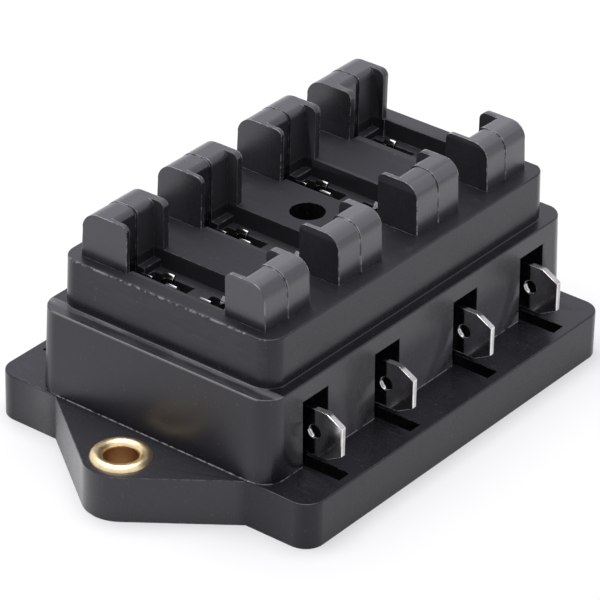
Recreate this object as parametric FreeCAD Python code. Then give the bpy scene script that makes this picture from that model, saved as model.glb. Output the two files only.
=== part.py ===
import FreeCAD, Part
import math
import os

# Four-way blade fuse box: one moulded housing, two eyelets, eight stamped contacts.
# Millimetres. X runs along the length, Y across it, Z up. The underside is at Z = 0.

os.makedirs("parts", exist_ok=True)

V = FreeCAD.Vector

# Bays: one fuse in each, its body lying across the box
BAY_X = (-21.85, -7.9, 7.9, 21.85)   # plane of the contacts in each bay
SEAM_INWARD = 0.2                    # the middle of the towers lies inward of it by this much
BAY_SHIFT = -0.42                    # middle of the bays, across the box
FUSE_LENGTH = 18.4                   # body of a blade fuse
FUSE_THICKNESS = 5.1
FUSE_PLAY_END = 0.05                 # clearance at each end of the fuse body
FUSE_PLAY_NEAR = (0.95, 0.95, 0.95, 0.55)  # clearance at its -X flank, about the middle of the towers
FUSE_PLAY_FAR = 0.55                 # and at its +X flank

# Base plate
PLATE_LENGTH = 60.0
PLATE_WIDTH = 48.6
PLATE_HEIGHT = 6.2
PLATE_CORNER = 2.6
PLATE_EDGE = 0.2

# Fixing ears and their eyelets
EYELET_SPACING = 70.4
EAR_RADIUS = 4.75
EAR_ROOT = 29.6                      # width of the ear where it leaves the plate
EYELET_BORE = 4.3
EYELET_WALL = 0.45
EYELET_RIM = 7.6                     # diameter of the rolled rim
EYELET_RIM_HEIGHT = 0.65
EYELET_FOOT = 6.6                    # diameter of the flared foot
EYELET_FOOT_HEIGHT = 0.45
EYELET_FIT = 0.05                    # clearance between eyelet and ear
FOOT_RECESS = 0.25                   # how far the flared foot sits above the underside

# Lower body
LOWER_START = 29.9                   # its -X end, from the middle of the box
LOWER_END = 30.05                    # its +X end, cut square
LOWER_WIDTH = 36.1
LOWER_TOP = 17.6
LOWER_CORNER = 2.9
LOWER_DRAFT = 0.25                   # each side draws in by this much at the top
LOWER_EDGE = 0.2
WALL = 1.6                           # wall that the windows pierce

# Upper body, whose top is the deck
UPPER_START = 27.5
UPPER_END = 27.55
UPPER_WIDTH = 32.6
DECK = 24.2
UPPER_CORNER = 2.45
UPPER_DRAFT = 0.12
UPPER_EDGE = 0.2
FOOT_FLARE = 0.15                    # small slope where a body meets the step below it
END_OVERRUN = 0.45                   # the rounded plan of a body would run this far past its square end

# Wells between the towers
WELL_NEAR = (3.1, 3.1, 3.1, 2.2)     # -X side of each well, from the middle of the towers
WELL_FAR = (3.1, 3.1, 3.1, 3.4)      # and its +X side
WELL_DEPTH = 2.4
LEDGE_DEPTH = 1.4                    # ledge in the far half of each channel, below the fuse body
LEDGE_FRONT = 16.4                   # across the front edges of a facing pair of ledges

# Towers
FRONT_HEIGHTS = (6.0, 6.5, 6.8, 6.25)    # of each tower of the -Y row, above the deck
BACK_HEIGHTS = (6.33, 7.03, 7.13, 6.73)  # and of the +Y row
FRONT_NEAR = (4.15, 4.15, 4.15, 3.7)     # from the middle of each tower to its -X end
BACK_NEAR = (4.15, 4.15, 4.15, 4.15)
TOWER_FAR = 4.15                     # from the middle of a tower to its +X end
TOWER_OUTER = 28.2                   # across the outer faces of a facing pair, at the deck
TOWER_DRAFT = 0.2
TOWER_INNER = 14.9                   # across the near lips of a facing pair
FRONT_LIP_IN = (0, 0, 0, 0.43)       # each near lip reaches further in than that by this much
BACK_LIP_IN = (0, 0, 0, 0)
FRONT_LIP_BACK = (0.35, 0.35, 0.35, 0.15)  # each far lip stands back from the near lip
BACK_LIP_BACK = (0.35, 0.35, 0.35, 0.35)
FRONT_ROUND = 2.1                    # outer top edge of the -Y row
BACK_ROUND = 2.4                     # and of the +Y row
LIP_ROUND = 0.9                      # inner top edge
TOWER_STEP = 0.08                    # the far half of a tower stands higher than the near half
FRONT_STEP = 0.12                    # and further out, on the -Y row
CHANNEL_STEP = 0.25                  # the near half of a channel is deeper than the far half
CHANNEL_ROUND = 0.9                  # top edge of the back of a channel

# Cover fixing hole in the middle of the deck
COVER_BORE = 4.5
COVER_BORE_DEPTH = 14.0

# Contacts, stamped from strip and doubled over at the tab
STRIP = 0.4
TAB_HEIGHT = 6.3
TAB_BOTTOM = 7.7
TAB_SETBACK = 1.5                    # from the edge of the plate to the tab's end
TAB_BEVEL_Y = 2.3
TAB_BEVEL_Z = 1.25
TAB_EDGE = 0.1                       # bevel of the tab's end, into its thickness
TAB_EDGE_RUN = 0.2                   # and along the tab
TAB_HOLE = 1.7
TAB_HOLE_EDGE = 0.18
TAB_HOLE_FROM_TIP = 4.1
BLADE_INNER = 1.75                   # inner edge of the fork, from the middle of the box
FORK_WIDTH = 5.5
FORK_ROOT = 15.4                     # height where the fingers begin
FORK_TIP = 23.0
FINGER_GAP = 0.2
FINGER_SIDES = (-1, 1, -1)           # side of the fuse blade that each finger presses on
FINGER_SPREAD = 1.3                  # a finger at its widest, from the strip's plane
FINGER_SPREAD_AT = 0.42              # as a share of its length
FINGER_PINCH = 0.42                  # where it presses on the blade
FINGER_PINCH_AT = 0.78
FINGER_FLARE = 1.1                   # its tip
FINGER_STATIONS = 9                  # places along a finger where its thickness is set out
TANG_FROM_TIP = 10.0                 # outer side of the tang, from the tab's end
TANG_WIDTH = 2.0
TANG_LENGTH = 2.4
TANG_REACH = 1.5
CATCH_SIDE = 0.4                     # the catch passes each side of the tang by this much

# Contact chambers, entered from below
SIDE_NEAR = 1.6                      # chamber wall on the -X side, from the strip's plane
SIDE_FAR = 3.3                       # chamber wall on the +X side, where the tang springs out
WINDOW_TOP = 15.2
SLOT_WIDTH = 2.1                     # slot in the base plate below each tab
SLOT_END_GAP = 0.25
CONTACT_FIT = 0.1                    # clearance round a seated contact
FORK_ROOM = 0.45                     # clearance beside the spread fingers
PARTITION = 1.2                      # rib that guides and stops the strip

# Sizes that follow
CHANNEL_NEAR = [FUSE_THICKNESS / 2 + play for play in FUSE_PLAY_NEAR]
CHANNEL_FAR = FUSE_THICKNESS / 2 + FUSE_PLAY_FAR
CHANNEL_END = FUSE_LENGTH / 2 + FUSE_PLAY_END
WELL_FLOOR = DECK - WELL_DEPTH
LEDGE = DECK - LEDGE_DEPTH
TAB_TIP = PLATE_WIDTH / 2 - TAB_SETBACK
TAB_TOP = TAB_BOTTOM + TAB_HEIGHT
FORK_OUTER = BLADE_INNER + FORK_WIDTH
CHAMBER_INNER = BLADE_INNER - FORK_ROOM
CHAMBER_SPLIT = FORK_OUTER + FORK_ROOM
CHAMBER_OUTER = LOWER_WIDTH / 2 - WALL
FORK_HALF = FINGER_SPREAD + STRIP / 2 + FORK_ROOM
TANG_OUTER = TAB_TIP - TANG_FROM_TIP
TANG_TOP = TAB_TOP - 2 * STRIP
TANG_FOOT = TANG_TOP - TANG_LENGTH
EAR_BORE = EYELET_BORE / 2 + EYELET_WALL + EYELET_FIT
HALF_TURN = 1 - math.sqrt(0.5)       # a quarter circle's middle, from its corner, for radius 1


def block(x0, x1, y0, y1, z0, z1):
    """Box between two corners."""
    return Part.makeBox(x1 - x0, y1 - y0, z1 - z0, V(x0, y0, z0))


def outline(points):
    """Closed face through the given points."""
    return Part.Face(Part.makePolygon(list(points) + [points[0]]))


def mirrored(shape, side):
    """The +Y shape itself, or its mirror image on the -Y side."""
    return shape if side > 0 else shape.mirror(V(0, 0, 0), V(0, 1, 0))


def rounded_plan(length, width, corner, z):
    """Wire of a rectangle with rounded corners."""
    hx, hy, k = length / 2, width / 2, corner
    d = k * HALF_TURN
    edges = []
    for sx, sy in ((1, 1), (-1, 1), (-1, -1), (1, -1)):
        start = V(sx * hx, sy * (hy - k), z)
        end = V(sx * (hx - k), sy * hy, z)
        if sx != sy:
            start, end = end, start
        middle = V(sx * (hx - d), sy * (hy - d), z)
        edges.append(Part.Arc(start, middle, end).toShape())
    sides = [Part.makeLine(edges[i].lastVertex().Point, edges[(i + 1) % 4].firstVertex().Point)
             for i in range(4)]
    return Part.Wire([e for pair in zip(edges, sides) for e in pair])


def layers(levels):
    """Solid through rounded plans given as (length, width, corner, height), ruled from each to the next."""
    solid = None
    for low, high in zip(levels, levels[1:]):
        piece = Part.makeLoft([rounded_plan(*low), rounded_plan(*high)], True, True)
        solid = piece if solid is None else solid.fuse(piece)
    return solid.removeSplitter()


def tier(length, width, corner, z0, z1, draft, edge, flare):
    """Drafted block with a small flare at its foot and a softened top edge."""
    top = (length - 2 * draft, width - 2 * draft, corner, z1)
    body = layers([(length, width, corner, z0), top])
    rim = [e for e in body.Edges if e.BoundBox.ZMin > z1 - edge / 2]
    body = body.makeFillet(edge, rim)
    if flare:
        foot = layers([(length + 2 * flare, width + 2 * flare, corner + flare, z0),
                       (length, width, corner, z0 + flare)])
        body = body.fuse(foot)
    return body


def square_ended(start, end, *sizes):
    """Tier whose rounded +X end is cut off square, which leaves sharp edges there."""
    body = tier(start + end + END_OVERRUN, *sizes)
    body.translate(V((end + END_OVERRUN - start) / 2, 0, 0))
    box = body.BoundBox
    return body.cut(block(end, box.XMax, box.YMin, box.YMax, box.ZMin, box.ZMax))


def ear(side):
    """Tapered fixing ear with a round end about its eyelet."""
    xe, root = EYELET_SPACING / 2, PLATE_LENGTH / 2
    run, rise = xe - root, EAR_ROOT / 2
    reach = math.hypot(run, rise)
    angle = math.atan2(rise, -run) - math.acos(EAR_RADIUS / reach)
    tx, ty = xe + EAR_RADIUS * math.cos(angle), EAR_RADIUS * math.sin(angle)
    inside = root - PLATE_CORNER
    arc = Part.Arc(V(tx, -ty, 0), V(xe + EAR_RADIUS, 0, 0), V(tx, ty, 0)).toShape()
    path = [V(tx, ty, 0), V(root, rise, 0), V(inside, rise, 0),
            V(inside, -rise, 0), V(root, -rise, 0), V(tx, -ty, 0)]
    lines = [Part.makeLine(a, b) for a, b in zip(path, path[1:])]
    solid = Part.Face(Part.Wire([arc] + lines)).extrude(V(0, 0, PLATE_HEIGHT))
    return solid if side > 0 else solid.mirror(V(0, 0, 0), V(1, 0, 0))


def base_plate():
    """Flat plate with its top edge softened, and both ears."""
    plate = tier(PLATE_LENGTH, PLATE_WIDTH, PLATE_CORNER, 0, PLATE_HEIGHT, 0, PLATE_EDGE, 0)
    return plate.fuse([ear(1), ear(-1)])


def eyelet_seat(side):
    """Bore through the ear, with room below for the flared foot."""
    x = side * EYELET_SPACING / 2
    recess = FOOT_RECESS + EYELET_FOOT_HEIGHT + EYELET_FIT
    bore = Part.makeCylinder(EAR_BORE, PLATE_HEIGHT, V(x, 0, 0))
    return bore.fuse(Part.makeCylinder(EYELET_FOOT / 2 + EYELET_FIT, recess, V(x, 0, 0)))


def seam(number):
    """Middle of a bay's two towers, where their halves meet."""
    x = BAY_X[number]
    return x - math.copysign(SEAM_INWARD, x)


def tower_profile(lip, outer, top, b):
    """Side view of a tower, from its lip to its outer face, whose top corner is rounded by b."""
    crown = outer - TOWER_DRAFT
    a, h = LIP_ROUND, HALF_TURN
    edges = [
        Part.makeLine(V(0, outer, WELL_FLOOR), V(0, lip, WELL_FLOOR)),
        Part.makeLine(V(0, lip, WELL_FLOOR), V(0, lip, top - a)),
        Part.Arc(V(0, lip, top - a), V(0, lip + h * a, top - h * a), V(0, lip + a, top)).toShape(),
        Part.makeLine(V(0, lip + a, top), V(0, crown - b, top)),
        Part.Arc(V(0, crown - b, top), V(0, crown - h * b, top - h * b),
                 V(0, crown, top - b)).toShape(),
        Part.makeLine(V(0, crown, top - b), V(0, outer, DECK)),
        Part.makeLine(V(0, outer, DECK), V(0, outer, WELL_FLOOR)),
    ]
    return Part.Face(Part.Wire(edges))


def tower(number, side):
    """Tower whose two halves meet at a small step over its middle."""
    if side < 0:
        height, start, reach = FRONT_HEIGHTS[number], FRONT_NEAR[number], FRONT_LIP_IN[number]
        back, inset, crest = FRONT_LIP_BACK[number], FRONT_STEP, FRONT_ROUND
    else:
        height, start, reach = BACK_HEIGHTS[number], BACK_NEAR[number], BACK_LIP_IN[number]
        back, inset, crest = BACK_LIP_BACK[number], 0, BACK_ROUND
    x, lip = seam(number), TOWER_INNER / 2 + side * BAY_SHIFT - reach
    outer, top = TOWER_OUTER / 2, DECK + height
    near = tower_profile(lip, outer - inset, top - TOWER_STEP, crest).extrude(V(start, 0, 0))
    far = tower_profile(lip + back, outer, top, crest).extrude(V(TOWER_FAR, 0, 0))
    near.translate(V(x - start, 0, 0))
    far.translate(V(x, 0, 0))
    return mirrored(near.fuse(far), side)


def channel(x0, x1, lip, end, low, top):
    """Space for half of one end of a fuse body, with a rounded edge at the top of its back."""
    r, h = CHANNEL_ROUND, HALF_TURN * CHANNEL_ROUND
    path = [V(x0, end + r, top), V(x0, end + r, top + r), V(x0, lip, top + r),
            V(x0, lip, low), V(x0, end, low), V(x0, end, top - r)]
    edges = [Part.makeLine(a, b) for a, b in zip(path, path[1:])]
    edges.append(Part.Arc(path[-1], V(x0, end + h, top - h), path[0]).toShape())
    return Part.Face(Part.Wire(edges)).extrude(V(x1 - x0, 0, 0))


def bay(number):
    """Well between two facing towers, and the channels that hold the fuse body."""
    x, reach = seam(number), TOWER_INNER / 2
    back, front = reach - BACK_LIP_IN[number], reach - FRONT_LIP_IN[number]
    cuts = [block(x - WELL_NEAR[number], x + WELL_FAR[number], BAY_SHIFT - front,
                  BAY_SHIFT + back, WELL_FLOOR, DECK + WELL_DEPTH)]
    for side, half, height in ((-1, front, FRONT_HEIGHTS[number]), (1, back, BACK_HEIGHTS[number])):
        shift, top = side * BAY_SHIFT, DECK + height
        lip, end = half + shift, CHANNEL_END + shift
        near = channel(x - CHANNEL_NEAR[number], x, lip, end + CHANNEL_STEP, WELL_FLOOR,
                       top - TOWER_STEP)
        far = channel(x, x + CHANNEL_FAR, lip, end, LEDGE, top)
        front = block(x, x + CHANNEL_FAR, lip, LEDGE_FRONT / 2 + shift, WELL_FLOOR, DECK)
        cuts += [mirrored(cut, side) for cut in (near, far, front)]
    return cuts


def chamber(x, side):
    """Space for one contact: fork room, strip slit, tang room, window and plate slot."""
    slit = STRIP + CONTACT_FIT
    rest = TAB_TOP + CONTACT_FIT
    split = CHAMBER_SPLIT + PARTITION
    face = PLATE_WIDTH / 2
    fork_room = block(x - FORK_HALF, x + FORK_HALF, CHAMBER_INNER, CHAMBER_SPLIT, 0, WELL_FLOOR)
    strip_slit = block(x - slit, x + slit, CHAMBER_SPLIT, split, 0, rest)
    tang_room = block(x - SIDE_NEAR, x + SIDE_FAR, split, CHAMBER_OUTER, 0, WINDOW_TOP)
    window = block(x - SIDE_NEAR, x + SIDE_FAR, CHAMBER_OUTER, face, PLATE_HEIGHT, WINDOW_TOP)
    slot = block(x - SLOT_WIDTH / 2, x + SLOT_WIDTH / 2, CHAMBER_OUTER, TAB_TIP + SLOT_END_GAP,
                 0, PLATE_HEIGHT)
    catch = block(x + TANG_REACH - CATCH_SIDE, x + SIDE_FAR,
                  TANG_OUTER - TANG_WIDTH - CATCH_SIDE, TANG_OUTER + CATCH_SIDE,
                  0, TANG_FOOT - CONTACT_FIT)
    room = fork_room.fuse([strip_slit, tang_room.cut(catch), window, slot])
    return mirrored(room, side)


def housing():
    """One moulding: plate, two stepped bodies and eight towers, with everything cut through it."""
    body = base_plate()
    body = body.fuse(square_ended(LOWER_START, LOWER_END, LOWER_WIDTH, LOWER_CORNER, PLATE_HEIGHT,
                                  LOWER_TOP, LOWER_DRAFT, LOWER_EDGE, 0))
    body = body.fuse(square_ended(UPPER_START, UPPER_END, UPPER_WIDTH, UPPER_CORNER, LOWER_TOP,
                                  DECK, UPPER_DRAFT, UPPER_EDGE, FOOT_FLARE))
    numbers = range(len(BAY_X))
    body = body.fuse([tower(number, side) for side in (-1, 1) for number in numbers])
    cuts = [cut for number in numbers for cut in bay(number)]
    cuts += [chamber(x, side) for x in BAY_X for side in (1, -1)]
    cuts += [eyelet_seat(1), eyelet_seat(-1)]
    cuts.append(Part.makeCylinder(COVER_BORE / 2, COVER_BORE_DEPTH, V(0, 0, DECK - COVER_BORE_DEPTH)))
    for cut in cuts:
        body = body.cut(cut)
    return body.removeSplitter()


def eyelet(side):
    """Turned-over tube: half-round rim on the ear, flared foot in its recess."""
    inner, wall = EYELET_BORE / 2, EYELET_WALL
    outer, rim, foot = inner + wall, EYELET_RIM / 2, EYELET_FOOT / 2
    low, top = FOOT_RECESS, PLATE_HEIGHT
    seat = low + EYELET_FOOT_HEIGHT
    crown = V((inner + rim) / 2, 0, top + EYELET_RIM_HEIGHT)
    turn = V(inner + wall * HALF_TURN, 0, low + wall * HALF_TURN)
    path = [V(rim, 0, top), V(outer, 0, top), V(outer, 0, seat), V(foot, 0, seat),
            V(foot, 0, low), V(inner + wall, 0, low)]
    edges = [Part.makeLine(a, b) for a, b in zip(path, path[1:])]
    edges.append(Part.Arc(path[-1], turn, V(inner, 0, low + wall)).toShape())
    edges.append(Part.makeLine(V(inner, 0, low + wall), V(inner, 0, top)))
    edges.append(Part.Arc(V(inner, 0, top), crown, path[0]).toShape())
    solid = Part.Face(Part.Wire(edges)).revolve(V(0, 0, 0), V(0, 0, 1), 360)
    solid.translate(V(side * EYELET_SPACING / 2, 0, 0))
    return solid


def strip_blank():
    """Flat of the contact in its own plane: tab, bridge and the neck of the fork."""
    y0, y1, y2 = BLADE_INNER, FORK_OUTER, TAB_TIP
    pts = [V(0, y0, TAB_BOTTOM), V(0, y2 - TAB_BEVEL_Y, TAB_BOTTOM),
           V(0, y2, TAB_BOTTOM + TAB_BEVEL_Z), V(0, y2, TAB_TOP - TAB_BEVEL_Z),
           V(0, y2 - TAB_BEVEL_Y, TAB_TOP), V(0, y1, TAB_TOP),
           V(0, y1, FORK_ROOT), V(0, y0, FORK_ROOT)]
    blank = outline(pts).extrude(V(2 * STRIP, 0, 0))
    blank.translate(V(-STRIP, 0, 0))
    nose, flank = STRIP - TAB_EDGE, y2 - TAB_EDGE_RUN
    plan = [V(-STRIP, y0, 0), V(-STRIP, flank, 0), V(-nose, y2, 0),
            V(nose, y2, 0), V(STRIP, flank, 0), V(STRIP, y0, 0)]
    return blank.common(outline(plan).extrude(V(0, 0, FORK_TIP)))


def tab_hole():
    """Detent hole through the tab, with a bevelled edge on both faces."""
    y, z = TAB_TIP - TAB_HOLE_FROM_TIP, TAB_BOTTOM + TAB_HEIGHT / 2
    r, e = TAB_HOLE / 2, TAB_HOLE_EDGE
    hole = Part.makeCylinder(r, 2 * STRIP, V(-STRIP, y, z), V(1, 0, 0))
    near = Part.makeCone(r + e, r, e, V(-STRIP, y, z), V(1, 0, 0))
    far = Part.makeCone(r, r + e, e, V(STRIP - e, y, z), V(1, 0, 0))
    return hole.fuse([near, far])


def finger(y0, y1, way):
    """Spring finger: spreads from the neck, pinches in on the fuse blade and flares at its tip."""
    rise = FORK_TIP - FORK_ROOT
    bends = [(STRIP / 2, 0), (FINGER_SPREAD, FINGER_SPREAD_AT), (FINGER_PINCH, FINGER_PINCH_AT),
             (FINGER_FLARE, 1)]
    middle = Part.BSplineCurve()
    middle.interpolate([V(way * x, y0, FORK_ROOT + share * rise) for x, share in bends])
    faces = ([], [])
    for i in range(FINGER_STATIONS):
        at = middle.LastParameter * i / (FINGER_STATIONS - 1)
        along = middle.tangent(at)[0]
        half = V(along.z, 0, -along.x) * (STRIP / 2)
        faces[0].append(middle.value(at) - half)
        faces[1].append(middle.value(at) + half)
    edges = [Part.makeLine(faces[0][i], faces[1][i]) for i in (0, -1)]
    for points in faces:
        flank = Part.BSplineCurve()
        flank.interpolate(points)
        edges.append(flank.toShape())
    side = Part.Face(Part.Wire(Part.sortEdges(edges)[0]))
    return side.extrude(V(0, y1 - y0, 0))


def fork():
    """Fingers side by side, pressing on the fuse blade from both sides."""
    count = len(FINGER_SIDES)
    width = (FORK_WIDTH - (count - 1) * FINGER_GAP) / count
    starts = [BLADE_INNER + i * (width + FINGER_GAP) for i in range(count)]
    return [finger(y0, y0 + width, way) for y0, way in zip(starts, FINGER_SIDES)]


def tang():
    """Locking tongue, bent out of the strip so that its lower end rests on the catch."""
    y1, tip = TANG_OUTER, STRIP + TANG_REACH
    pts = [V(STRIP / 2, y1, TANG_TOP), V(STRIP, y1, TANG_TOP), V(tip, y1, TANG_FOOT + STRIP / 2),
           V(tip, y1, TANG_FOOT), V(tip - STRIP, y1, TANG_FOOT), V(STRIP / 2, y1, TANG_TOP - STRIP)]
    return outline(pts).extrude(V(0, -TANG_WIDTH, 0))


def contact():
    """Stamped contact on the +Y side, its strip in the plane X = 0."""
    window = block(-STRIP, STRIP, TANG_OUTER - TANG_WIDTH, TANG_OUTER,
                   TANG_FOOT, TANG_TOP - STRIP)
    body = strip_blank().cut(tab_hole()).cut(window)
    return body.fuse(fork() + [tang()]).removeSplitter()


def export(shape, name):
    shape.exportStep("parts/" + name + ".step")


export(housing(), "housing")
export(eyelet(-1), "eyelet_left")
export(eyelet(1), "eyelet_right")
piece = contact()
for side, row in ((-1, "front"), (1, "back")):
    for number, x in enumerate(BAY_X, 1):
        placed = mirrored(piece.copy(), side)
        placed.translate(V(x, 0, 0))
        export(placed, "contact_{}_{}".format(row, number))
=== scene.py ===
"""Looks of the four-way blade fuse box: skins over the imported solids, finishes, floor, light and camera.

Metres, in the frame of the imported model: X along the box, Y across it, Z up from the underside.
Materials work in millimetres on the same axes.
"""

import math

import bmesh
import bpy
import numpy as np
from mathutils import Matrix, Vector


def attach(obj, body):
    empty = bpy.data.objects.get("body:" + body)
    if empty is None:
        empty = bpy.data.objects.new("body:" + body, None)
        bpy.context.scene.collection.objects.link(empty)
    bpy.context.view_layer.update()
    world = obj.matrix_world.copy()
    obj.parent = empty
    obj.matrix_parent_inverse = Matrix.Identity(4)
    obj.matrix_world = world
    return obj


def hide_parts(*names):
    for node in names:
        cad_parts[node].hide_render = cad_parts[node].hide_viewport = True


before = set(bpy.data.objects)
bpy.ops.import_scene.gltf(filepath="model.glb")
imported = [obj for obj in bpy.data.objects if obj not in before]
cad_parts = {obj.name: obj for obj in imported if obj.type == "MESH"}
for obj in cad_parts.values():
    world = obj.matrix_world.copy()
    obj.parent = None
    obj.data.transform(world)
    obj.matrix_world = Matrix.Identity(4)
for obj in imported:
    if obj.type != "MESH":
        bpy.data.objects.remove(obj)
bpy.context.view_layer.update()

MM = 0.001
BLACK = (0, 0, 0)
WHITE = (1, 1, 1)

# Camera, as in the photograph
CAMERA_AZIMUTH = math.radians(-52.58)
CAMERA_ELEVATION = math.radians(30.61)
CAMERA_ROLL = math.radians(1.31)
CAMERA_DISTANCE = 516.4 * MM
CAMERA_AIM = Vector((0, 0, 12 * MM))
CAMERA_SIDESTEP = 0.68 * MM
CAMERA_RISE = 0.31 * MM
CAMERA_SENSOR = 36.0
CAMERA_LENS = 251.6

# Light. The world is white to the camera, cool white in reflections, and lights the box by its fill
WORLD_WHITE = 1.0
WORLD_FILL = 0.35
WORLD_COOL = (0.94, 0.93, 1.0)
SOFTBOX_PLACE = Vector((-0.02, 0.10, 0.62))
SOFTBOX_SIZE = 0.6
SOFTBOX_POWER = 4.5

# Floor. Its glow, over its own lit tone, is what makes it white
FLOOR_HALF = 3.0
FLOOR_GLOW = 0.42
FLOOR_TONES = (0.50, 0.498, 0.515), (0.53, 0.528, 0.545)
FLOOR_MOTTLE = 0.02, 2.0

# Edge rounding of the skins: its width, its facets, and its share at the foot of a form over the plate
HOUSING_EDGE = 0.13 * MM
CONTACT_EDGE = 0.08 * MM
EDGE_SEGMENTS = 2
FOOT_SHARE = 0.45
PLATE_EDGES_BELOW = 7 * MM
SHARP_EDGE = math.radians(50)

# Cleaning of a solid's copy: points and edges that go, faces too small to round, and smooth shading
SAME_POINT = 1e-6
FLAT_EDGE = math.radians(0.6)
WELD = 0.03 * MM
SLIVER = 0.012 * MM * MM
SHADING_WEIGHT = 100

# Bays, in millimetres: the middle of a pair of bays, half the pitch in it, and the middle of their rows
MIDDLE_OF_BAYS = 14.875
HALF_BAY_PITCH = 6.975
MIDDLE_OF_ROWS = -0.42

# Borders on the moulding, in millimetres, each from where it begins to where it is complete.
# Upwards, over the underside:
PLATE_FROM, PLATE_TO = (6.0, 6.15), (6.25, 6.4)
PLATE_RIM_FROM, PLATE_RIM_TO = (6.21, 6.24), (6.6, 7.0)
SOLE_FROM, SOLE_TO = (6.215, 6.235), (6.33, 6.37)
LOWER_END_FROM, LOWER_END_TO = (6.3, 6.8), (17.2, 17.5)
WALL_FROM, UPPER_WALL_FROM = (6.3, 9.0), (17.5, 18.5)
BRINK_FROM, BRINK_TO = (17.38, 17.45), (17.7, 17.8)
LEDGE_FROM, LEDGE_TO = (17.4, 17.55), (17.65, 17.8)
SCUFFS_FROM = (18.6, 19.6)
WELLS_FROM = (19.0, 20.0)
CREST_FROM, CREST_TO = (23.95, 24.05), (24.17, 24.21)
DECK_FROM, DECK_TO = (24.0, 24.12), (24.25, 24.5)
CHANNELS_FROM = (24.0, 24.4)
LOW_TOPS_FROM, LOW_TOPS_TO = (29.7, 29.9), (30.75, 30.85)
# Along the box, from its middle, where the near end is at -X:
EAR_TO = (-31.0, -29.5)
BRINK_FACE_TO = (-29.50, -29.42)
LOWER_END_FACE_TO = (-28.9, -28.6)
LEDGE_FOOT_FROM = (-28.4, -27.9)
NEAR_END_TO = (-27.2, -26.8)
INNER_DECK_TO = (24.5, 25.9)
# Across the box, from its middle, or from the middle of the rows:
BACK_ROW_FROM = (-3.0, 3.0)
SCUFFS_FADE = (6.0, 14.0)
CHANNEL_ENDS = (9.3, 9.5)
INNER_DECK_SIDES = (8.6, 11.4)
# From the middle of a bay:
CHANNEL_SIDES = (3.3, 3.5)

# Tones of the moulding, from the deepest to the lightest: real rubs, scratches, scuffs and dust, painted
# light on the ear, towers, wells, channels and front tops, and painted highlights along edges and rims
DEEP_BLACK = (0.0060, 0.0056, 0.0074)
CLOUDY_BLACK = (0.0082, 0.0078, 0.0100)
RUBBED_BLACK = (0.022, 0.021, 0.026)
# painted light: a lighter black that lifts the towers and the wells as light would; the plate's top takes a
# little of it too
PAINTED_LIGHT_BLACK = (0.030, 0.029, 0.034)
# painted light: the ear tops are lifted above the black to stand for the light they catch
EAR_PAINTED_LIGHT = (0.040, 0.039, 0.046)
SCRATCHED_BLACK = (0.055, 0.054, 0.060)
# painted light: the channels are lifted to stand for the light that falls into them
CHANNEL_PAINTED_LIGHT = (0.070, 0.069, 0.076)
SCUFFED_BLACK = (0.075, 0.074, 0.080)
# painted sheen: the front row's tower tops are lighter, standing for the light they reflect
LOW_TOP_PAINTED_SHEEN = (0.080, 0.079, 0.086)
FLECK_GREY = (0.16, 0.16, 0.17)
# painted highlight: a bright line along the foot of the near end's upper wall
LEDGE_PAINTED_HIGHLIGHT = (0.19, 0.19, 0.20)
# painted highlight: the bright lines along the near end's crest, the lower end's brink and the feet over
# the plate
EDGE_PAINTED_HIGHLIGHT = (0.30, 0.30, 0.31)
# painted highlight and wear: the towers' rounded rims are lighter, as bright edge lines and rubbed edges
TOWER_RIM_HIGHLIGHT_AND_WEAR = (0.36, 0.36, 0.37)
# painted highlight and wear: the other rounded rims are lighter
RIM_HIGHLIGHT_AND_WEAR = (0.38, 0.38, 0.39)

# Noise on the moulding: cells in a millimetre, detail, roughness, and what each axis is multiplied by
CLOUDS = 0.16, 3.0
STREAKS = 0.9, 3.0, 0.5, (1.0, 1.0, 0.12)
GRAIN = 7.0, 2.0, 0.6
RUBS = 0.55, 5.0, 0.65
FLECKS = 2.6, 1.0
DRAGS = 0.8, 4.0, 0.65, (1.0, 0.22, 1.0)
HAIRS = 5.0, 3.0, 0.6, (1.0, 1.0, 0.10)
SCRATCHES = 3.2, 3.0, 0.6, (1.0, 0.08, 1.0)
WEAR = 1.1, 4.0, 0.7

# How high that noise is where a mark begins, and where it is complete
CLOUDS_SHOW, STREAKS_SHOW = (0.35, 0.7), (0.4, 0.8)
RUBS_SHOW, DRAGS_SHOW, FLECKS_SHOW = (0.56, 0.72), (0.40, 0.62), (0.735, 0.76)
HAIRS_SHOW, SCRATCHES_SHOW = (0.56, 0.72), (0.58, 0.72)
# where the noise breaks up the painted highlight lines at the crest and at the feet
CREST_HIGHLIGHT_BREAKS, SOLE_HIGHLIGHT_BREAKS = (0.46, 0.56), (0.42, 0.50)
# where the noise lets the rims' painted highlights and wear show
RIM_HIGHLIGHT_AND_WEAR_SHOW, TOWER_RIM_HIGHLIGHT_AND_WEAR_SHOW = (0.46, 0.56), (0.50, 0.58)

# Gloss and relief of the moulding. A relief is a strength and a depth
PLASTIC_IOR = 1.45
PLASTIC_SHEEN = (0.92, 0.90, 1.0, 1.0)
PLASTIC_ROUGHNESS = 0.20
COAT_ROUGHNESS = 0.28
PLASTIC_RELIEF = 0.6, 0.012 * MM

# Tin and brass: each a light and a dull tone, a darker one for the fork or the bore as painted shade, noise
# and relief
TIN_FACES = (0.56, 0.555, 0.55), (0.44, 0.425, 0.40)
# painted highlight: a lighter copy of the tin for the rounded edges
TIN_EDGE_HIGHLIGHTS = (0.86, 0.85, 0.84), (0.74, 0.72, 0.70)
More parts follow.
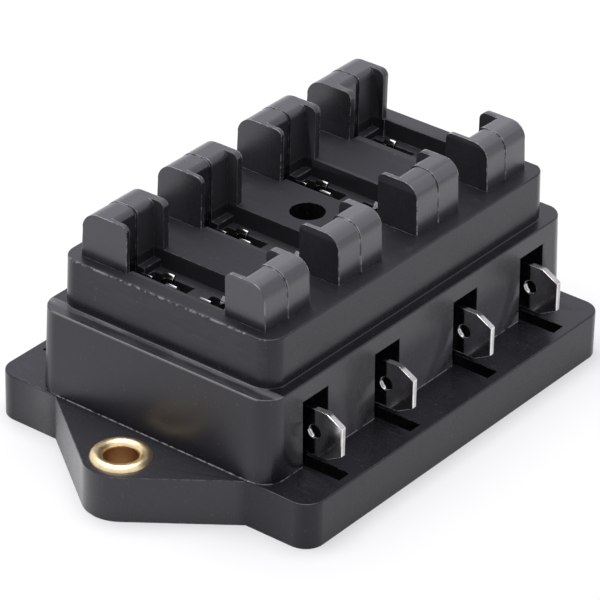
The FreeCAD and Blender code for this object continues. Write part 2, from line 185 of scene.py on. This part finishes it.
# painted shade: the forks up in the wells are darkened
TIN_FORK_PAINTED_SHADE = (0.12, 0.115, 0.11)
TIN_ROUGHNESS = 0.07
TIN_DRAWN = 6.0, 3.0, 0.5, (1.0, 0.15, 1.0)
TIN_STAINS, TIN_STAINS_SHOW = (0.6, 3.0), (0.4, 0.7)
TIN_RELIEF = 0.2, 0.01 * MM
FORK_FROM = (14.0, 16.0)
BRASS = (0.90, 0.73, 0.44), (0.78, 0.59, 0.32)
# painted shade: the brass is darkened down in the bore
BRASS_BORE_PAINTED_SHADE = (0.52, 0.34, 0.19)
BRASS_ROUGHNESS = 0.26
BRASS_RINGS = 1.5, 4.0, 0.5, (1.0, 1.0, 3.0)
BRASS_STAINS, BRASS_STAINS_SHOW = (0.8, 3.0), (0.45, 0.75)
BRASS_RELIEF = 0.5, 0.04 * MM
BORE_TO = (5.9, 6.3)


class Value:
    """A shader socket that adds, subtracts and multiplies like a number."""

    def __init__(self, shader, socket):
        self.shader = shader
        self.socket = socket

    def math(self, operation, *others):
        return self.shader.node("ShaderNodeMath", {"operation": operation}, (self, *others))

    def __add__(self, other):
        return self.math("ADD", other)

    __radd__ = __add__

    def __sub__(self, other):
        return self.math("SUBTRACT", other)

    def __rsub__(self, other):
        return (self * -1) + other

    def __mul__(self, other):
        return self.math("MULTIPLY", other)

    __rmul__ = __mul__

    def larger(self, other):
        return self.math("MAXIMUM", other)

    def away(self, middle):
        """Distance from a value."""
        return (self - middle).math("ABSOLUTE")

    def rise(self, low, high):
        """Smooth rise from 0 at low to 1 at high."""
        return self.shader.node("ShaderNodeMapRange", {"interpolation_type": "SMOOTHSTEP"},
                                {"Value": self, "From Min": low, "From Max": high})

    def fall(self, low, high):
        """Smooth fall from 1 at low to 0 at high."""
        return 1.0 - self.rise(low, high)

    def band(self, start, end):
        """1 between two borders: a rise over the first times a fall over the second."""
        return self.rise(*start) * self.fall(*end)


class Shader:
    """Node tree of a new material or world, with one method that makes its nodes."""

    def __init__(self, owner):
        owner.use_nodes = True
        self.owner = owner
        self.tree = owner.node_tree
        self.tree.nodes.clear()

    def node(self, kind, settings=None, sockets=(), output=0):
        """New node. Its settings come first, then each socket's value or link, by name or in order."""
        made = self.tree.nodes.new(kind)
        for key, setting in (settings or {}).items():
            setattr(made, key, setting)
        pairs = sockets.items() if isinstance(sockets, dict) else enumerate(sockets)
        for key, value in pairs:
            if isinstance(value, Value):
                self.tree.links.new(value.socket, made.inputs[key])
            else:
                made.inputs[key].default_value = value
        return Value(self, made.outputs[output]) if len(made.outputs) else made

    def place(self):
        """Object coordinates in millimetres."""
        spot = self.node("ShaderNodeTexCoord", output="Object")
        return self.node("ShaderNodeVectorMath", {"operation": "SCALE"}, {0: spot, "Scale": 1 / MM})

    def axes(self, spot):
        """The three coordinates, each by itself."""
        return [self.node("ShaderNodeSeparateXYZ", {}, (spot,), axis) for axis in (0, 1, 2)]

    def noise(self, spot, scale, detail=2.0, roughness=0.5, stretch=None):
        """Noise from 0 to 1, scale cells in a millimetre. A stretch multiplies each axis first."""
        if stretch:
            spot = self.node("ShaderNodeVectorMath", {"operation": "MULTIPLY"}, (spot, stretch))
        return self.node("ShaderNodeTexNoise", {},
                         {"Vector": spot, "Scale": scale, "Detail": detail, "Roughness": roughness})

    def mix(self, share, first, second):
        """Colour between two others, as links or as red, green and blue."""
        first, second = (tone if isinstance(tone, Value) else (*tone, 1) for tone in (first, second))
        return self.node("ShaderNodeMix", {"data_type": "RGBA"}, {0: share, 6: first, 7: second}, output=2)

    def bump(self, height, strength, distance):
        return self.node("ShaderNodeBump", {},
                         {"Strength": strength, "Distance": distance, "Height": height})

    def ray(self, kind):
        """1 on rays of one kind: Camera, Glossy or Transmission."""
        return self.node("ShaderNodeLightPath", output=f"Is {kind} Ray")

    def seen(self):
        """1 on camera, glossy and transmission rays, and 0 on the rays that light other surfaces."""
        return self.ray("Camera").larger(self.ray("Glossy")).larger(self.ray("Transmission"))

    def surface(self, **sockets):
        """Principled surface that ends the tree. Underscores in the names stand for spaces."""
        named = {key.replace("_", " "): value for key, value in sockets.items()}
        self.node("ShaderNodeOutputMaterial", {},
                  {"Surface": self.node("ShaderNodeBsdfPrincipled", {}, named)})
        return self.owner


class Zones:
    """Masks from 0 to 1 over the moulding, each a product of smooth borders along X, Y and Z."""

    def __init__(self, x, y, z):
        bay = x.away(0).away(MIDDLE_OF_BAYS).away(HALF_BAY_PITCH)
        row = y.away(MIDDLE_OF_ROWS)
        over_plate = z.rise(*PLATE_FROM)
        beyond_body = x.fall(*EAR_TO)
        self.near_end = x.fall(*NEAR_END_TO)
        self.back = y.rise(*BACK_ROW_FROM)
        self.inside = bay.fall(*CHANNEL_SIDES) * row.fall(*CHANNEL_ENDS) * z.rise(*WELLS_FROM)
        self.channel = self.inside * z.rise(*CHANNELS_FROM)
        self.tower = z.rise(*DECK_TO) * (1.0 - self.inside)
        self.low_top = z.band(LOW_TOPS_FROM, LOW_TOPS_TO) * (1.0 - self.back)
        self.deck = z.band(DECK_FROM, DECK_TO)
        self.inner_deck = self.deck * row.fall(*INNER_DECK_SIDES) * x.fall(*INNER_DECK_TO)
        self.ledge = z.band(LEDGE_FROM, LEDGE_TO)
        self.ledge_foot = x.rise(*LEDGE_FOOT_FROM)
        self.wall = (z.rise(*WALL_FROM) * (1.0 - self.tower) * (1.0 - self.deck)
                     * (1.0 - self.ledge) * (1.0 - self.inside))
        self.upper_wall = z.rise(*UPPER_WALL_FROM)
        self.lower_end = x.fall(*LOWER_END_FACE_TO) * z.band(LOWER_END_FROM, LOWER_END_TO)
        self.plate = z.band(PLATE_FROM, PLATE_TO)
        self.ear = beyond_body * over_plate
        self.ear_side = beyond_body * (1.0 - over_plate)
        self.scuffed = (self.near_end * z.rise(*SCUFFS_FROM) * (1.0 - self.tower)
                        * (1.0 - y.rise(*SCUFFS_FADE) * 0.6))
        self.crest = self.near_end * z.band(CREST_FROM, CREST_TO)
        self.sole = z.band(SOLE_FROM, SOLE_TO)
        self.brink = x.fall(*BRINK_FACE_TO) * z.band(BRINK_FROM, BRINK_TO)
        self.plate_rim = z.band(PLATE_RIM_FROM, PLATE_RIM_TO)
        self.near_rims = self.near_end * z.rise(*PLATE_RIM_FROM)


class Marks:
    """Noise over the moulding. Streaks and hairs run down the walls, and drags and scratches across."""

    def __init__(self, shader, spot):
        self.cloud = shader.noise(spot, *CLOUDS)
        self.streak = shader.noise(spot, *STREAKS)
        self.grain = shader.noise(spot, *GRAIN)
        self.rub = shader.noise(spot, *RUBS).rise(*RUBS_SHOW)
        self.fleck = shader.noise(spot, *FLECKS).rise(*FLECKS_SHOW)
        self.drag = shader.noise(spot, *DRAGS).rise(*DRAGS_SHOW)
        hair = shader.noise(spot, *HAIRS).rise(*HAIRS_SHOW)
        scratch = shader.noise(spot, *SCRATCHES).rise(*SCRATCHES_SHOW)
        self.lines = hair * 0.6 + scratch * 0.6
        # noise for wear, which also breaks up the painted edge highlights
        self.wear = shader.noise(spot, *WEAR)


def moulded_plastic(name, rim):
    """Satin black moulding, whose tone, roughness and gloss differ by zone and by wear, with painted light
    in some zones' tones and painted highlights on its edge lines.

    The tone starts between two blacks, and each layer then mixes in its own by a share, which is a mask
    times a weight. Roughness and coat are sums of masks times weights. The rounded rims get painted
    highlights and wear more.
    """
    shader = Shader(bpy.data.materials.new(name))
    spot = shader.place()
    zone = Zones(*shader.axes(spot))
    mark = Marks(shader, spot)
    scuff = zone.scuffed * (mark.drag * 0.6 + 0.4)
    # the near end's ledge: real scratched black, and a painted highlight at the wall's foot
    ledge_scratches_and_highlight = shader.mix(zone.ledge_foot, SCRATCHED_BLACK, LEDGE_PAINTED_HIGHLIGHT)
    # painted highlights along the crest, the brink and the feet, broken up by the wear noise
    painted_edge_highlights = (zone.crest * mark.wear.rise(*CREST_HIGHLIGHT_BREAKS) * 0.7 + zone.brink * 0.42
                  + zone.sole * mark.wear.rise(*SOLE_HIGHLIGHT_BREAKS) * 0.8)
    layers = [
        (mark.rub * 0.25, RUBBED_BLACK),
        # painted light on the ear tops
        (zone.ear * 0.75, EAR_PAINTED_LIGHT),
        # painted light on the towers
        (zone.tower * 0.75, PAINTED_LIGHT_BLACK),
        # painted sheen on the front row's tower tops
        (zone.low_top * 0.6, LOW_TOP_PAINTED_SHEEN),
        # painted light in the wells, and a little of the same lighter black on the plate's top
        (zone.inside * 0.6 + zone.plate * 0.25, PAINTED_LIGHT_BLACK),
        # painted light in the channels
        (zone.channel * 0.5, CHANNEL_PAINTED_LIGHT),
        (mark.lines * 0.28, SCRATCHED_BLACK),
        (scuff * 0.28, SCUFFED_BLACK),
        # scratches and a painted highlight along the near end's ledge
        (zone.near_end * zone.ledge * (mark.drag * 0.5 + 0.5) * 0.85, ledge_scratches_and_highlight),
        # painted edge highlights
        (painted_edge_highlights, EDGE_PAINTED_HIGHLIGHT),
        (mark.fleck * 0.35, FLECK_GREY),
    ]
    rough = (PLASTIC_ROUGHNESS + mark.cloud * 0.10 + mark.rub * 0.08 + mark.grain * 0.03 + mark.lines * 0.06
             + zone.inside * 0.18 + scuff * 0.06 + zone.lower_end * 0.14 + zone.deck * 0.14
             + zone.inner_deck * 0.24)
    coat = (zone.tower * (0.96 - zone.back * 0.24) + zone.wall * (0.36 - zone.upper_wall * 0.24)
            + (zone.deck - zone.inner_deck) * (zone.back * 0.22 + 0.08)
            + zone.ear_side * 0.55 + zone.ledge * 0.12)
    if rim:
        # the rounded rims are lighter as painted highlights and wear, most at the near end and round the
        # plate
        rim_highlight_and_wear = zone.near_rims.larger(zone.plate_rim) * 0.8 + 0.2
        layers += [
            (mark.wear.rise(*RIM_HIGHLIGHT_AND_WEAR_SHOW) * rim_highlight_and_wear, RIM_HIGHLIGHT_AND_WEAR),
            (mark.wear.rise(*TOWER_RIM_HIGHLIGHT_AND_WEAR_SHOW) * zone.tower * 0.6, TOWER_RIM_HIGHLIGHT_AND_WEAR),
        ]
        rough = rough + mark.wear * 0.12
    tone = shader.mix(mark.cloud.rise(*CLOUDS_SHOW) * 0.6 + mark.streak.rise(*STREAKS_SHOW) * 0.4,
                      DEEP_BLACK, CLOUDY_BLACK)
    for share, colour in layers:
        tone = shader.mix(share, tone, colour)
    height = mark.grain * 0.5 + mark.streak * 0.9 + mark.rub * 0.3 + mark.lines * 0.5
    return shader.surface(Base_Color=tone, Roughness=rough, IOR=PLASTIC_IOR, Specular_Tint=PLASTIC_SHEEN,
                          Coat_Weight=coat, Coat_Roughness=COAT_ROUGHNESS,
                          Normal=shader.bump(height, *PLASTIC_RELIEF))


def tin_plate(name, tones):
    """Tin over brass: nearly a mirror, with a drawn grain and a faint warm cast, and painted shade in the
    wells.
    """
    shader = Shader(bpy.data.materials.new(name))
    spot = shader.place()
    drawn = shader.noise(spot, *TIN_DRAWN)
    stain = shader.noise(spot, *TIN_STAINS).rise(*TIN_STAINS_SHOW)
    fork = shader.axes(spot)[2].rise(*FORK_FROM)
    # painted shade on the forks in the wells
    tone = shader.mix(fork * 0.7, shader.mix(stain, *tones), TIN_FORK_PAINTED_SHADE)
    return shader.surface(Base_Color=tone, Metallic=1.0,
                          Roughness=TIN_ROUGHNESS + drawn * 0.07 + stain * 0.05,
                          Normal=shader.bump(drawn, *TIN_RELIEF))


def bright_brass(name):
    """Polished brass with fine rings, a little darker where it is stained, and painted shade down in the
    bore.
    """
    shader = Shader(bpy.data.materials.new(name))
    spot = shader.place()
    ring = shader.noise(spot, *BRASS_RINGS)
    stain = shader.noise(spot, *BRASS_STAINS).rise(*BRASS_STAINS_SHOW)
    bore = shader.axes(spot)[2].fall(*BORE_TO)
    # painted shade in the bore
    tone = shader.mix(bore, shader.mix(stain, *BRASS), BRASS_BORE_PAINTED_SHADE)
    return shader.surface(Base_Color=tone, Metallic=1.0, Roughness=BRASS_ROUGHNESS + ring * 0.20,
                          Normal=shader.bump(ring, *BRASS_RELIEF))


def white_table(name):
    """White table top: takes the soft shadow, and glows white to the camera and in reflections alone."""
    shader = Shader(bpy.data.materials.new(name))
    tone = shader.mix(shader.noise(shader.place(), *FLOOR_MOTTLE), *FLOOR_TONES)
    glow = shader.mix(shader.seen(), BLACK, WHITE)
    return shader.surface(Base_Color=tone, Roughness=1.0, Specular_IOR_Level=0.0,
                          Emission_Color=glow, Emission_Strength=FLOOR_GLOW)


def put(name, data):
    """New object in the scene, at the origin."""
    piece = bpy.data.objects.new(name, data)
    bpy.context.scene.collection.objects.link(piece)
    return piece


def finish_with(mesh, materials):
    """Gives a mesh these materials and no others."""
    mesh.materials.clear()
    for material in materials:
        mesh.materials.append(material)


def welded_copy(node):
    """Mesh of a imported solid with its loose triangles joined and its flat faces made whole."""
    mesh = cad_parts[node].data.copy()
    shell = bmesh.new()
    shell.from_mesh(mesh)
    bmesh.ops.remove_doubles(shell, verts=shell.verts, dist=SAME_POINT)
    bmesh.ops.dissolve_limit(shell, angle_limit=FLAT_EDGE, verts=shell.verts, edges=shell.edges)
    bmesh.ops.remove_doubles(shell, verts=shell.verts, dist=WELD)
    return mesh, shell


def on_sliver(line):
    """True for an edge of a face too small to round, such as the last facet of a fillet."""
    return min(face.calc_area() for face in line.link_faces) < SLIVER


def foot_share(line):
    """Full rounding on outward edges and on the plate, and a narrower one at the foot of a higher form."""
    return 1.0 if line.is_convex or line.verts[0].co.z < PLATE_EDGES_BELOW else FOOT_SHARE


def skin(node, name, edge, materials, share_of=None):
    """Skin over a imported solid, with its sharp edges rounded in the last of its materials.

    share_of(line) may narrow the rounding of an edge.
    """
    mesh, shell = welded_copy(node)
    weight = shell.edges.layers.float.new("bevel_weight_edge")
    for line in shell.edges:
        line.smooth = True
        if line.is_manifold and line.calc_face_angle(0) > SHARP_EDGE and not on_sliver(line):
            line[weight] = share_of(line) if share_of else 1.0
    for face in shell.faces:
        face.smooth = True
        face.material_index = 0
    shell.to_mesh(mesh)
    shell.free()
    finish_with(mesh, materials)
    piece = put(name, mesh)
    bevel = piece.modifiers.new("edge", "BEVEL")
    bevel.limit_method = "WEIGHT"
    bevel.offset_type = "ABSOLUTE"
    bevel.width = edge
    bevel.segments = EDGE_SEGMENTS
    bevel.use_clamp_overlap = False
    bevel.material = len(materials) - 1
    shading = piece.modifiers.new("shading", "WEIGHTED_NORMAL")
    shading.mode = "FACE_AREA"
    shading.weight = SHADING_WEIGHT
    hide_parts(node)
    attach(piece, "root")
    return piece


def camera():
    """Camera turned to its azimuth, elevation and roll, then moved back and aside from where it aims."""
    data = bpy.data.cameras.new("camera")
    data.sensor_width = CAMERA_SENSOR
    data.lens = CAMERA_LENS
    turn = (Matrix.Rotation(CAMERA_AZIMUTH, 4, "Z")
            @ Matrix.Rotation(math.pi / 2 - CAMERA_ELEVATION, 4, "X")
            @ Matrix.Rotation(CAMERA_ROLL, 4, "Z"))
    back = Vector((-CAMERA_SIDESTEP, -CAMERA_RISE, CAMERA_DISTANCE))
    lens = put("camera", data)
    lens.matrix_world = Matrix.Translation(CAMERA_AIM + turn @ back) @ turn
    bpy.context.scene.camera = lens


def softbox():
    """Large square lamp high over the far side, turned to where the camera aims."""
    lamp = bpy.data.lights.new("softbox", "AREA")
    lamp.shape = "SQUARE"
    lamp.size = SOFTBOX_SIZE
    lamp.energy = SOFTBOX_POWER
    holder = put("softbox", lamp)
    holder.location = SOFTBOX_PLACE
    holder.rotation_euler = (CAMERA_AIM - SOFTBOX_PLACE).to_track_quat("-Z", "Y").to_euler()


def white_world():
    """White to the camera, a cool white in reflections, and a weaker cool white as light."""
    shader = Shader(bpy.data.worlds.new("white_room"))
    strength = shader.seen() * (WORLD_WHITE - WORLD_FILL) + WORLD_FILL
    tone = shader.mix(shader.ray("Camera"), WORLD_COOL, WHITE)
    sky = shader.node("ShaderNodeBackground", {}, {"Color": tone, "Strength": strength})
    shader.node("ShaderNodeOutputWorld", {}, {"Surface": sky})
    bpy.context.scene.world = shader.owner


def table():
    """Square floor at height 0: its four corners are one unit each way, times half its side."""
    ends = np.array([(-1, -1, 0), (1, -1, 0), (1, 1, 0), (-1, 1, 0)]) * FLOOR_HALF
    mesh = bpy.data.meshes.new("table")
    mesh.from_pydata(ends.tolist(), [], [(0, 1, 2, 3)])
    finish_with(mesh, [white_table("white_table")])
    put("table", mesh)


bpy.context.scene.view_settings.view_transform = "Standard"

camera()
softbox()
white_world()
table()

body = moulded_plastic("black_moulding", rim=False)
# the rounded rims' copy of the moulding, lighter with painted highlights and wear
rims = moulded_plastic("black_moulding_rim_highlights", rim=True)
tin = tin_plate("tin_plate", TIN_FACES)
# lighter copy of the tin on the rounded edges: painted highlights
tin_edge_highlights = tin_plate("tin_plate_edge_highlights", TIN_EDGE_HIGHLIGHTS)
brass = bright_brass("brass")

skin("housing", "moulded_housing", HOUSING_EDGE, [body, rims], foot_share)
for row in ("front", "back"):
    for number in (1, 2, 3, 4):
        node = f"contact_{row}_{number}"
        skin(node, "tinned_" + node, CONTACT_EDGE, [tin, tin_edge_highlights])
for side in ("left", "right"):
    finish_with(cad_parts["eyelet_" + side].data, [brass])
